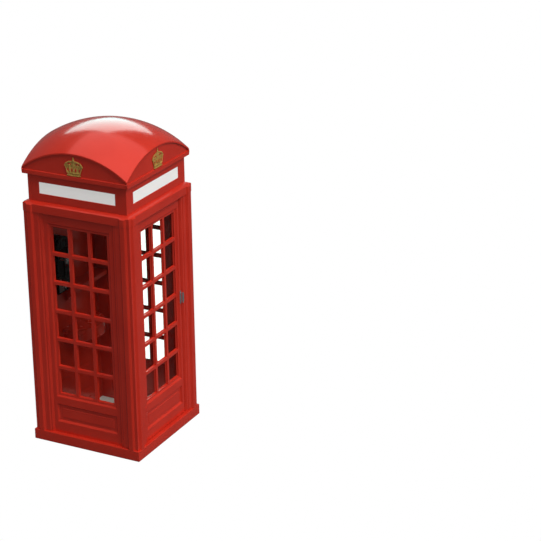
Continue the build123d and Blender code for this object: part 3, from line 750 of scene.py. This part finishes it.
@dataclass
class Crowns:
    """Plain crown in relief, one on each tympanum: band, flaring body, ribs, two arches and a knob.

    The sizes are in the ornament's own units, of which its height holds 167.
    """

    maker: Maker
    height_units: float = 167.0
    band_half: float = 64.0
    body_half: float = 84.0
    body_foot: float = 26.0
    body_top: float = 90.0
    arch_rise: float = 40.0
    band_dip: float = 3.0
    jewel: float = 5.5
    lobe: float = 6.5
    pearl: float = 5.0
    rod: float = 5.0
    knob_half: float = 11.0
    plate: float = 4 * MM
    plate_edge: float = 0.45
    proud: float = 5 * MM
    rod_depth: float = 4 * MM

    def build(self) -> None:
        """Place the ornament on all four sides."""
        low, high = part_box("front_crown")
        self.unit = (high.z - low.z) / self.height_units
        self.foot, self.wall = low.z, high.y
        relief_parts = joined([self.body()] + self.band() + self.ribs() + self.arches() + self.knob())
        grounds = self.grounds()
        for side, angle in SIDES.items():
            piece = Piece(f"{side}_crown_relief", "booth", "gilt", (f"{side}_crown",), 0.0, 50.0)
            self.maker.new_piece(piece, relief_parts.turned(angle), GOLD)
            piece = Piece(f"{side}_crown_grounds", "booth", "red_iron", (), 0.0, 50.0)
            self.maker.new_piece(piece, grounds.turned(angle), PUTTY_PAINT)

    def curve(self, x: np.ndarray, z: np.ndarray) -> np.ndarray:
        """Path in the ornament's plane, from its own units to the booth's frame."""
        plane = np.full_like(x, self.wall - self.proud)
        return np.stack([x * self.unit, plane, self.foot + z * self.unit], axis=1)

    def bead(self, x: float, z: float, half: float, flat: float = 0.6) -> Surface:
        """Ball of a half width, flattened by a factor towards the wall."""
        size = half * self.unit
        centre = (x * self.unit, self.wall - self.proud, self.foot + z * self.unit)
        return ball(centre, (size, size * flat, size))

    def bar(self, path: np.ndarray, scale: np.ndarray | float = 1.0) -> Surface:
        """Round bar along a path."""
        return swept(oval(self.rod * self.unit, self.rod_depth, 12), path, scale)

    def body(self) -> Surface:
        """Plate whose half width grows evenly to the body's top, then shrinks as an ellipse."""
        level = np.concatenate([np.linspace(4, self.body_top, 12),
                                self.body_top + self.arch_rise * np.sin(np.linspace(0.12, 1.5, 14))])
        rise = np.clip((level - self.body_foot) / (self.body_top - self.body_foot), 0, 1)
        flare = self.band_half - 4 + (self.body_half - self.band_half) * rise
        over = np.clip((level - self.body_top) / self.arch_rise, 0, 1)
        half = flare * np.sqrt(1 - over ** 2)
        u, z = np.meshgrid(np.linspace(-1, 1, 25), self.foot + level * self.unit)
        x = u * half[:, None] * self.unit
        front = self.wall - self.plate * (self.plate_edge + (1 - self.plate_edge) * (1 - u ** 4))
        return slab(x, z, front, np.full_like(x, self.wall))

    def band(self) -> list[Surface]:
        """Bowed base band: two round mouldings with square jewels between them."""
        bow = np.linspace(-1, 1, 21)
        parts = []
        for level, half, thick in ((5, 65, 5.0), (27, 67, 4.0)):
            path = self.curve(half * bow, level + self.band_dip * bow ** 2)
            parts.append(swept(oval(thick * self.unit, self.proud, 12, 3), path))
        return parts + [self.bead(x, 16 + self.band_dip * (x / 65) ** 2, self.jewel)
                        for x in (-48, -24, 0, 24, 48)]

    def ribs(self) -> list[Surface]:
        """Five ribs that fan out from the band, each with a three-lobed leaf at its head."""
        along = np.linspace(0, 1, 17)
        parts = []
        for x in (-1.0, -0.5, 0.0, 0.5, 1.0):
            head = 88 - 6 * abs(x)
            path = self.curve(60 * x + 20 * x * along, 30 + (head - 30) * along)
            parts.append(self.bar(path, 1.15 - 0.4 * along))
            for side, rise, half in ((-6, 4, self.jewel), (6, 4, self.jewel), (0, 11, self.lobe)):
                parts.append(self.bead(80 * x + side, head + rise, half))
        return parts

    def arches(self) -> list[Surface]:
        """Quarter ellipses from the outer ribs to the middle, each with a row of pearls."""
        turn = np.linspace(0, 1.5, 21)
        parts = []
        for side in (-1.0, 1.0):
            path = self.curve(side * 81 * np.cos(turn), 86 + self.arch_rise * np.sin(turn))
            parts.append(self.bar(path))
            parts += [self.bead(side * 83 * math.cos(angle), 88 + 43 * math.sin(angle), self.pearl, 0.7)
                      for angle in np.linspace(0.2, 1.3, 6)]
        return parts

    def knob(self) -> list[Surface]:
        """Round knob with a plain pointed tip."""
        level = np.linspace(144, self.height_units, 9)
        path = self.curve(np.zeros_like(level), level)
        tip = swept(oval(7 * self.unit, 3 * MM, 12), path, np.linspace(1, 0.3, len(level)))
        return [self.bead(0, 137, self.knob_half, 0.55), tip]

    def grounds(self) -> Surface:
        """Red ovals between the ribs and under the arches, like gaps in the casting."""
        spots = [(-57, 52, 8, 15), (-18, 52, 8, 16), (18, 52, 8, 16), (57, 52, 8, 15),
                 (-40, 104, 20, 7), (40, 104, 20, 7)]
        return joined([ball((x * self.unit, self.wall - self.plate, self.foot + z * self.unit),
                            (width * self.unit, 1.5 * MM, height * self.unit), 12)
                       for x, z, width, height in spots])


@dataclass
class Signs:
    """Blank opal signs, slightly bowed, bedded in a thin line of putty."""

    maker: Maker
    bow: float = 1.5 * MM
    putty: float = 4 * MM
    putty_proud: float = 3.5 * MM

    def build(self) -> None:
        """Make the sign for the front and turn it to each side."""
        low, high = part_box("front_sign")
        for side, angle in SIDES.items():
            piece = Piece(f"{side}_sign_glass", "booth", "opal_glass", (f"{side}_sign",), 1.0)
            self.maker.new_piece(piece, self.pane(low, high).turned(angle), OPAL_SIGN)
            bead = np.array([[0, -low.y], [0, -low.y + self.putty_proud], [self.putty, -low.y]])
            ring = framed(bead, high.x, low.z, high.z)
            piece = Piece(f"{side}_sign_putty", "booth", "red_iron")
            self.maker.new_piece(piece, ring.turned(angle), PUTTY_PAINT)

    def pane(self, low: Vector, high: Vector) -> Surface:
        """Slab whose front bows out: y = front - bow * (1 - u^2) * (1 - v^2)."""
        u, v = np.meshgrid(np.linspace(-1, 1, 33), np.linspace(-1, 1, 9))
        x = (low.x + high.x) / 2 + u * (high.x - low.x) / 2
        z = (low.z + high.z) / 2 + v * (high.z - low.z) / 2
        front = low.y - self.bow * (1 - u ** 2) * (1 - v ** 2)
        return slab(x, z, front, np.full_like(x, high.y))


@dataclass
class Windows:
    """Window castings with T-shaped glazing bars, their panes and the putty that beds each pane."""

    maker: Maker
    columns: int = 3
    rows: int = 6
    bar: float = 30 * MM
    web: float = 14 * MM
    slope: float = 14 * MM
    margin: float = 31 * MM
    lap: float = 2 * MM
    putty_width: float = 6 * MM
    putty_depth: float = 9 * MM

    def build(self) -> None:
        """Finish the three windows."""
        low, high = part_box("door_window")
        planes = (-high.y, -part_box("door_glass")[0].y, -low.y - self.slope, -low.y)
        width, bottom, top = high.x - self.margin, low.z + self.margin, high.z - self.margin
        casting = joined([self.surround(high.x, low.z, high.z, planes),
                          self.bars(width, bottom, top, planes)])
        beads = self.beads(width, bottom, top, planes[1])
        for side, node, body in (("left", "left_window", "booth"), ("right", "right_window", "booth"),
                                 ("front", "door_window", "door")):
            piece = Piece(f"{node}_casting", body, "red_iron", (node,), 1.6)
            self.maker.new_piece(piece, casting.turned(SIDES[side]), IRON_PAINT)
            self.maker.dress(node.replace("window", "glass"), CLEAR_GLASS)
            piece = Piece(f"{node}_putty", body, "red_iron")
            self.maker.new_piece(piece, beads.turned(SIDES[side]), PUTTY_PAINT)

    def surround(self, half_width: float, bottom: float, top: float, planes: tuple[float, ...]) -> Surface:
        """Outer frame of the casting: flat back, square edge, 45 degree slope and a flat margin."""
        back, _, flat, front = planes
        profile = [[0, back], [0, front], [self.slope, flat], [self.margin, flat], [self.margin, back]]
        return framed(np.array(profile), half_width, bottom, top)

    def bar_edges(self, low: float, high: float, count: int) -> tuple[np.ndarray, np.ndarray, np.ndarray]:
        """Cell edges across the bars of one direction, and which cells are bar and which are web."""
        pitch = (high - low + self.bar) / count
        centres = low - self.bar / 2 + pitch * np.arange(1, count)
        offsets = np.array([-self.bar, -self.web, self.web, self.bar]) / 2
        edges = np.concatenate([[low - self.lap], (centres[:, None] + offsets).ravel(), [high + self.lap]])
        cell = np.arange(len(edges) - 1) % 4
        return edges, cell != 0, cell == 2

    def bars(self, half_width: float, bottom: float, top: float, planes: tuple[float, ...]) -> Surface:
        """Glazing bars, wide in front of the glass and narrow between the panes."""
        back, glass, flat, _ = planes
        x, wide_x, narrow_x = self.bar_edges(-half_width, half_width, self.columns)
        z, wide_z, narrow_z = self.bar_edges(bottom, top, self.rows)
        wide = wide_x[:, None] | wide_z[None]
        narrow = narrow_x[:, None] | narrow_z[None]
        return blocks([x, np.array([-flat, -glass, -back]), z], np.stack([wide, narrow], axis=1))

    def beads(self, half_width: float, bottom: float, top: float, plane: float) -> Surface:
        """Triangular bead round every pane, from the bar's side down to the glass."""
        profile = np.array([[0, plane], [0, plane + self.putty_depth], [self.putty_width, plane]])
        width = (2 * half_width + self.bar) / self.columns - self.bar
        height = (top - bottom + self.bar) / self.rows - self.bar
        rings = []
        for column in range(self.columns):
            centre = -half_width + width / 2 + column * (width + self.bar)
            for row in range(self.rows):
                foot = bottom + row * (height + self.bar)
                rings.append(framed(profile, width / 2, foot, foot + height, centre))
        return joined(rings)


@dataclass
class Door:
    """Timber leaf, its hinges and the pull handle."""

    maker: Maker
    grip_depth: float = 6 * MM
    grip_end: float = 0.004
    pillar_offset: float = 36 * MM

    def build(self) -> None:
        """Paint the leaf and fit the handle."""
        for part in ("hinge_stile", "lock_stile", "bottom_rail", "mid_rail", "top_rail", "lower_panel"):
            self.maker.eased(f"door_{part}", TIMBER_PAINT, "red_timber", 1.2, "door")
        self.maker.eased("hinge_door_leaves", STEEL_PAINT, "iron_hinge", 0.6, "door")
        self.maker.eased("hinge_post_leaves", STEEL_PAINT, "iron_hinge", 0.6)
        self.maker.eased("handle_plate", CHROME, "chrome", 0.8, "door")
        self.grip()
        self.screws()

    def grip(self) -> None:
        """Broad pull, thickest at its middle, on two turned pillars.

        Its size along the path is sqrt(1 - |t|^3.2), slightly waisted by a cosine, with t from -1 to 1.
        """
        low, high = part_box("handle_grip")
        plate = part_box("handle_plate")[0].y
        x, z = (low.x + high.x) / 2, (low.z + high.z) / 2
        half_length, half_width = (high.z - low.z) / 2, (high.x - low.x) / 2
        along = np.linspace(-1, 1, 41)
        path = np.stack([np.full_like(along, x), np.full_like(along, low.y + self.grip_depth),
                         z + half_length * along], axis=1)
        swell = np.sqrt(np.clip(1 - np.abs(along) ** 3.2, self.grip_end, 1))
        swell = swell * (0.86 + 0.14 * np.cos(along * np.pi / 2))
        parts = [swept(oval(half_width, self.grip_depth, 28, 2.6), path, swell)]
        pillar = np.array([[11, 0], [11, 1.5], [8, 4], [6.5, 9], [7, 15], [9, 21]]) * MM
        for offset in (-self.pillar_offset, self.pillar_offset):
            parts.append(revolved(pillar, (x, plate, z + offset), FRONT, 28))
        piece = Piece("pull_handle_grip", "door", "chrome", ("handle_grip",), 0.0, 50.0)
        self.maker.new_piece(piece, joined(parts), CHROME)

    def screws(self) -> None:
        """Two plain raised-head screws in the ends of the plate."""
        low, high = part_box("handle_screws")
        x, radius = (low.x + high.x) / 2, (high.x - low.x) / 2
        head = np.array([[1, 0.4], [0.8, 1.0], [0.4, 1.4], [0.05, 1.5]]) * np.array([radius, MM])
        dome = np.vstack([[radius, 0], head])
        parts = [revolved(dome, (x, high.y, z), FRONT, 20) for z in (low.z + radius, high.z - radius)]
        piece = Piece("handle_plate_screws", "door", "chrome", ("handle_screws",), 0.0, 50.0)
        self.maker.new_piece(piece, joined(parts), CHROME)


@dataclass
class Telephone:
    """Coin telephone on its backboard."""

    maker: Maker
    grip_bow: float = 4 * MM
    grip_inset: float = 14 * MM

    def build(self) -> None:
        """Finish the case, the plates and everything that moves."""
        self.maker.eased("telephone_board", TIMBER_PAINT, "red_timber", 2.0)
        self.maker.eased("telephone_case", BLACK_ENAMEL, "black_enamel", 3.0)
        self.maker.eased("face_plate", BLUED_STEEL, "grey_steel", 0.8)
        self.maker.eased("cash_cover", SATIN_STEEL, "grey_steel", 0.8)
        self.maker.eased("coin_entry", CHROME, "chrome", 1.0)
        for body, radius in (("return_flap", 0.5), ("switch_hook", 0.8), ("dial", 0.6), ("button_a", 1.2),
                             ("button_b", 1.2)):
            self.maker.eased(body, CHROME, "chrome", radius, body)
        for node in ("finger_stop", "hook_pin", "cash_lock", "cord_gland"):
            self.maker.eased(node, CHROME, "chrome", 0.4)
        self.handset()

    def handset(self) -> None:
        """Bowed grip between two flared caps, one surface for each.

        The grip bows out by half a sine wave and swells at both ends by a cosine.
        """
        low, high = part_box("handset")
        x, radius = (low.x + high.x) / 2, (high.x - low.x) / 2
        ear, mouth = high.z - radius, low.z + radius
        along = np.linspace(0, 1, 33)
        belly = self.grip_bow * np.sin(np.pi * along)
        path = np.stack([np.full_like(along, x), low.y + self.grip_inset - belly,
                         mouth + (ear - mouth) * along], axis=1)
        swell = 1.0 + 0.18 * np.cos(2 * np.pi * along)
        parts = [swept(oval(11 * MM, 9 * MM, 20, 2.4), path, swell)]
        cap = np.array([[0.5, 42], [10, 42], [20, 40.5], [25, 37], [27, 31], [26.6, 27], [19, 22], [17, 12],
                        [14, 4], [8, 0.8], [0.5, 0.2]]) * MM
        cap[:, 1] *= (high.y - low.y) / cap[0, 1]
        for level in (ear, mouth):
            parts.append(revolved(cap, (x, low.y, level), (0, 1, 0), 40))
        piece = Piece("handset_moulding", "handset", "black_moulding", ("handset",), 0.0, 60.0)
        self.maker.new_piece(piece, joined(parts), BLACK_PHENOLIC)


@dataclass
class Fittings:
    """Shelves and the ceiling lamp."""

    maker: Maker

    def build(self) -> None:
        """Finish the shelves and the lamp."""
        self.maker.eased("shelf", TIMBER_PAINT, "red_timber", 3.0)
        self.maker.eased("shelf_brackets", STEEL_PAINT, "red_steel", 1.0)
        self.maker.eased("parcel_shelf", STEEL_PAINT, "red_steel", 2.0)
        self.maker.eased("lamp_holder", WHITE_ENAMEL, "white_steel", 1.0)
        for node in ("lamp_diffuser", "lamp_bulb"):
            self.maker.dress(node, FROSTED_GLASS)


# ------------------------------------------------------------------------------------------ studio
class Use(Enum):
    """What a lamp is for."""

    LIGHT = "lights the booth but has no reflection"
    REFLECTION = "is only seen in the gloss"


@dataclass
class Studio:
    """White studio: camera, floor, five broad distant lamps, and two softboxes seen only in the gloss."""

    camera_place: Triple = (-12.4805, -7.9681, 7.2726)
    camera_yaw: float = 62.7388
    camera_pitch: float = -21.5081
    camera_roll: float = -0.6614
    lens_mm: float = 122.697
    floor_size: float = 60.0
    floor_grey: float = 0.1
    roof_height: float = 2.7
    mirrored: float = 0.17
    mirrored_inside: float = 0.02
    through_glass: float = 1.9

    def build(self) -> None:
        """Set up the whole studio."""
        scene = bpy.context.scene
        scene.view_settings.view_transform = "Standard"
        self.camera(scene)
        self.backdrop(scene)
        self.floor()
        self.sun("key_light", (-0.15, -0.63, 0.76), 2.4, 24)
        self.sun("top_light", (-0.2, -0.2, 1.0), 1.45, 40)
        self.sun("left_light", (-0.8, -0.25, 0.55), 0.85, 50)
        self.sun("front_light", (0.7, -0.8, 0.12), 1.8, 50)
        self.sun("back_light", (0.6, 0.78, 0.2), 1.4, 60)
        self.softbox("overhead_softbox", (0, 0, 1), 0, 6.4, 4.2, 120, (1.0, 1.0, 1.0))
        self.softbox("far_softbox", (0.74, 0.43, 0.43), 45, 3.4, 6.0, 135, (0.4, 1.0, 1.0))

    def camera(self, scene: bpy.types.Scene) -> None:
        """Aim the camera by yaw from +Y, pitch and roll."""
        yaw, pitch, roll = (math.radians(a) for a in (self.camera_yaw, self.camera_pitch, self.camera_roll))
        ahead = math.cos(pitch)
        forward = Vector((math.sin(yaw) * ahead, math.cos(yaw) * ahead, math.sin(pitch)))
        level = Vector((math.cos(yaw), -math.sin(yaw), 0))
        upright = level.cross(forward)
        right = level * math.cos(roll) + upright * math.sin(roll)
        up = upright * math.cos(roll) - level * math.sin(roll)
        turn = Matrix((right, up, -forward)).transposed().to_4x4()
        data = bpy.data.cameras.new("studio_camera")
        data.lens = self.lens_mm
        data.sensor_width = 36
        data.clip_end = 200
        obj = bpy.data.objects.new("studio_camera", data)
        obj.matrix_world = Matrix.Translation(self.camera_place) @ turn
        scene.collection.objects.link(obj)
        scene.camera = obj

    def backdrop(self, scene: bpy.types.Scene) -> None:
        """White surroundings for the eye, also through glass, and dim ones for what the surfaces mirror."""
        world = bpy.data.worlds.new("white_studio")
        world.use_nodes = True
        tree = world.node_tree
        tree.nodes.clear()
        white, seen = self.white(tree, "Background")
        path = add_node(tree, "LightPath")
        inside = add_node(tree, "MapRange", (path.outputs["Transparent Depth"], 0.0, 1.0, self.mirrored,
                                             self.mirrored_inside))
        strength = add_node(tree, "Math", (inside.outputs[0], path.outputs["Is Glossy Ray"]),
                            operation="MULTIPLY")
        dim = add_node(tree, "Background", {"Color": (1, 1, 1, 1), "Strength": strength.outputs[0]})
        mix = add_node(tree, "MixShader", (seen, dim.outputs[0], white))
        add_node(tree, "OutputWorld", {"Surface": mix.outputs[0]})
        scene.world = world

    def white(self, tree: bpy.types.NodeTree,
              kind: str) -> tuple[bpy.types.NodeSocket, bpy.types.NodeSocket]:
        """White shader that makes up for what panes take, and a socket that is 1 for the eye's own line."""
        path = add_node(tree, "LightPath")
        strength = add_node(tree, "MapRange", (path.outputs["Transparent Depth"], 0.0, 1.0, 1.0,
                                               self.through_glass))
        white = add_node(tree, kind, {"Color": (1, 1, 1, 1), "Strength": strength.outputs[0]})
        return white.outputs[0], path.outputs["Is Camera Ray"]

    def floor(self) -> None:
        """Flat floor that looks white and reflects little."""
        half = self.floor_size / 2
        mesh = bpy.data.meshes.new("studio_floor")
        corners = [(-half, -half, 0), (half, -half, 0), (half, half, 0), (-half, half, 0)]
        mesh.from_pydata(corners, [], [[0, 1, 2, 3]])
        mesh.materials.append(StudioWhite("studio_floor_white", self).material())
        obj = bpy.data.objects.new("studio_floor", mesh)
        bpy.context.scene.collection.objects.link(obj)

    def lamp(self, name: str, data: bpy.types.Light, use: Use) -> bpy.types.Object:
        """Put a lamp in the scene, seen only where its use says."""
        obj = bpy.data.objects.new(name, data)
        obj.visible_camera = False
        obj.visible_transmission = False
        obj.visible_glossy = use is not Use.LIGHT
        obj.visible_diffuse = use is not Use.REFLECTION
        bpy.context.scene.collection.objects.link(obj)
        return obj

    def sun(self, name: str, towards: Triple, strength: float, spread: float) -> None:
        """Distant lamp seen from the booth in a direction, with soft edges and no reflection."""
        data = bpy.data.lights.new(name, "SUN")
        data.energy = strength
        data.angle = math.radians(spread)
        obj = self.lamp(name, data, Use.LIGHT)
        obj.rotation_euler = Vector(towards).to_track_quat("Z", "Y").to_euler()

    def softbox(self, name: str, towards: Triple, turn: float, size: float, distance: float, power: float,
                colour: Triple) -> None:
        """Square softbox that faces the roof and is only seen in the gloss.

        Args:
            name: name of the lamp.
            towards: direction from the roof to the softbox.
            turn: rotation of the softbox in its own plane, in degrees.
            size: width in metres.
            distance: metres from the roof.
            power: watts.
            colour: linear colour; a cool one turns white in red paint.
        """
        data = bpy.data.lights.new(name, "AREA")
        data.color = colour
        data.shape = "RECTANGLE"
        data.size = data.size_y = size
        data.energy = power
        obj = self.lamp(name, data, Use.REFLECTION)
        away = Vector(towards).normalized()
        spin = Matrix.Rotation(math.radians(turn), 4, "Z")
        aim = away.to_track_quat("Z", "Y").to_matrix().to_4x4() @ spin
        obj.matrix_world = Matrix.Translation(Vector((0, 0, self.roof_height)) + away * distance) @ aim


@dataclass(frozen=True)
class StudioWhite(Finish):
    """Floor finish: white to the eye, dull grey to everything else."""

    studio: Studio

    def shader(self, tree: bpy.types.NodeTree) -> bpy.types.NodeSocket:
        """White light for the eye's own line over a dull body."""
        white, seen = self.studio.white(tree, "Emission")
        grey = self.studio.floor_grey
        dull = add_node(tree, "BsdfDiffuse", {"Color": (grey, grey, grey, 1)})
        return add_node(tree, "MixShader", (seen, dull.outputs[0], white)).outputs[0]


def main() -> None:
    """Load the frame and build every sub-assembly in order."""
    logging.basicConfig(level=logging.INFO, format="%(name)s: %(message)s")
    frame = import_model()
    maker = Maker(frame)
    Studio().build()
    for section in (Shell, Roof, Crowns, Signs, Windows, Door, Telephone, Fittings):
        section(maker).build()


if __name__ == "__main__":
    main()
